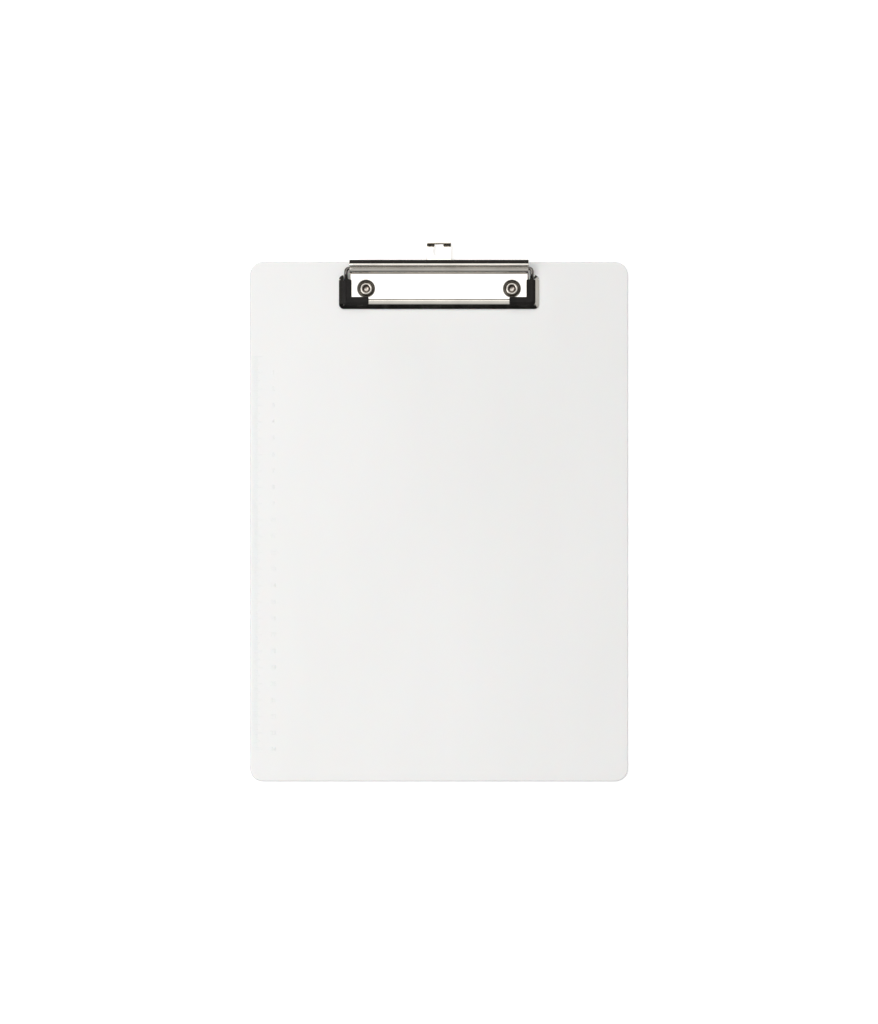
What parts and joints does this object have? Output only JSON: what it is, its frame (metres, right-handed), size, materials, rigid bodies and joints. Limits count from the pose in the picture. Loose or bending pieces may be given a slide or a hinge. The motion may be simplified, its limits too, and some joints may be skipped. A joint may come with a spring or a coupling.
{
  "type": "clipboard",
  "caption": "Flat letter-size board with a low-profile sprung wire clip, chrome lever and jaw bar, rubber corner grips and a pull-out hanging hook.",
  "frame": {"origin": "centre of the board's flat back face, which lies on the desk", "axes": "+X to the board's right, +Y towards the clip and hook, +Z out of the writing face"},
  "size_m": [0.231, 0.329, 0.0166],
  "materials": {
    "board_plastic": "frosted, fine-grained translucent white",
    "chrome_sheet": "bright chrome plate on pressed sheet steel",
    "chrome_wire": "bright chrome plate on drawn spring wire",
    "rivet_steel": "nickel-plated, lightly worn",
    "spring_steel": "plain drawn spring wire",
    "grip_rubber": "moulded satin black"
  },
  "bodies": {
    "board": {"board_panel": "board_plastic", "clip_base": "chrome_sheet", "rivet_left": "rivet_steel", "rivet_right": "rivet_steel", "torsion_spring_left": "spring_steel", "torsion_spring_right": "spring_steel"},
    "clamp": {"lever": "chrome_sheet", "bail_wire": "chrome_wire", "jaw_bar": "chrome_sheet", "corner_grip_left": "grip_rubber", "corner_grip_right": "grip_rubber"},
    "hook": {"hanging_hook": "chrome_sheet"}
  },
  "joints": [
    {"name": "clamp_hinge", "type": "hinge", "parent": "board", "child": "clamp", "pos_m": [0, 0.1542, 0.007], "axis": [-1, 0, 0], "range_deg": [0, 40], "stiffness_Nm_per_rad": 0.12, "springref_deg": -57.3, "deforming": ["torsion_spring_left", "torsion_spring_right"]},
    {"name": "hook_slide", "type": "slide", "parent": "board", "child": "hook", "axis": [0, -1, 0], "range_m": [0, 0.011]}
  ]
}
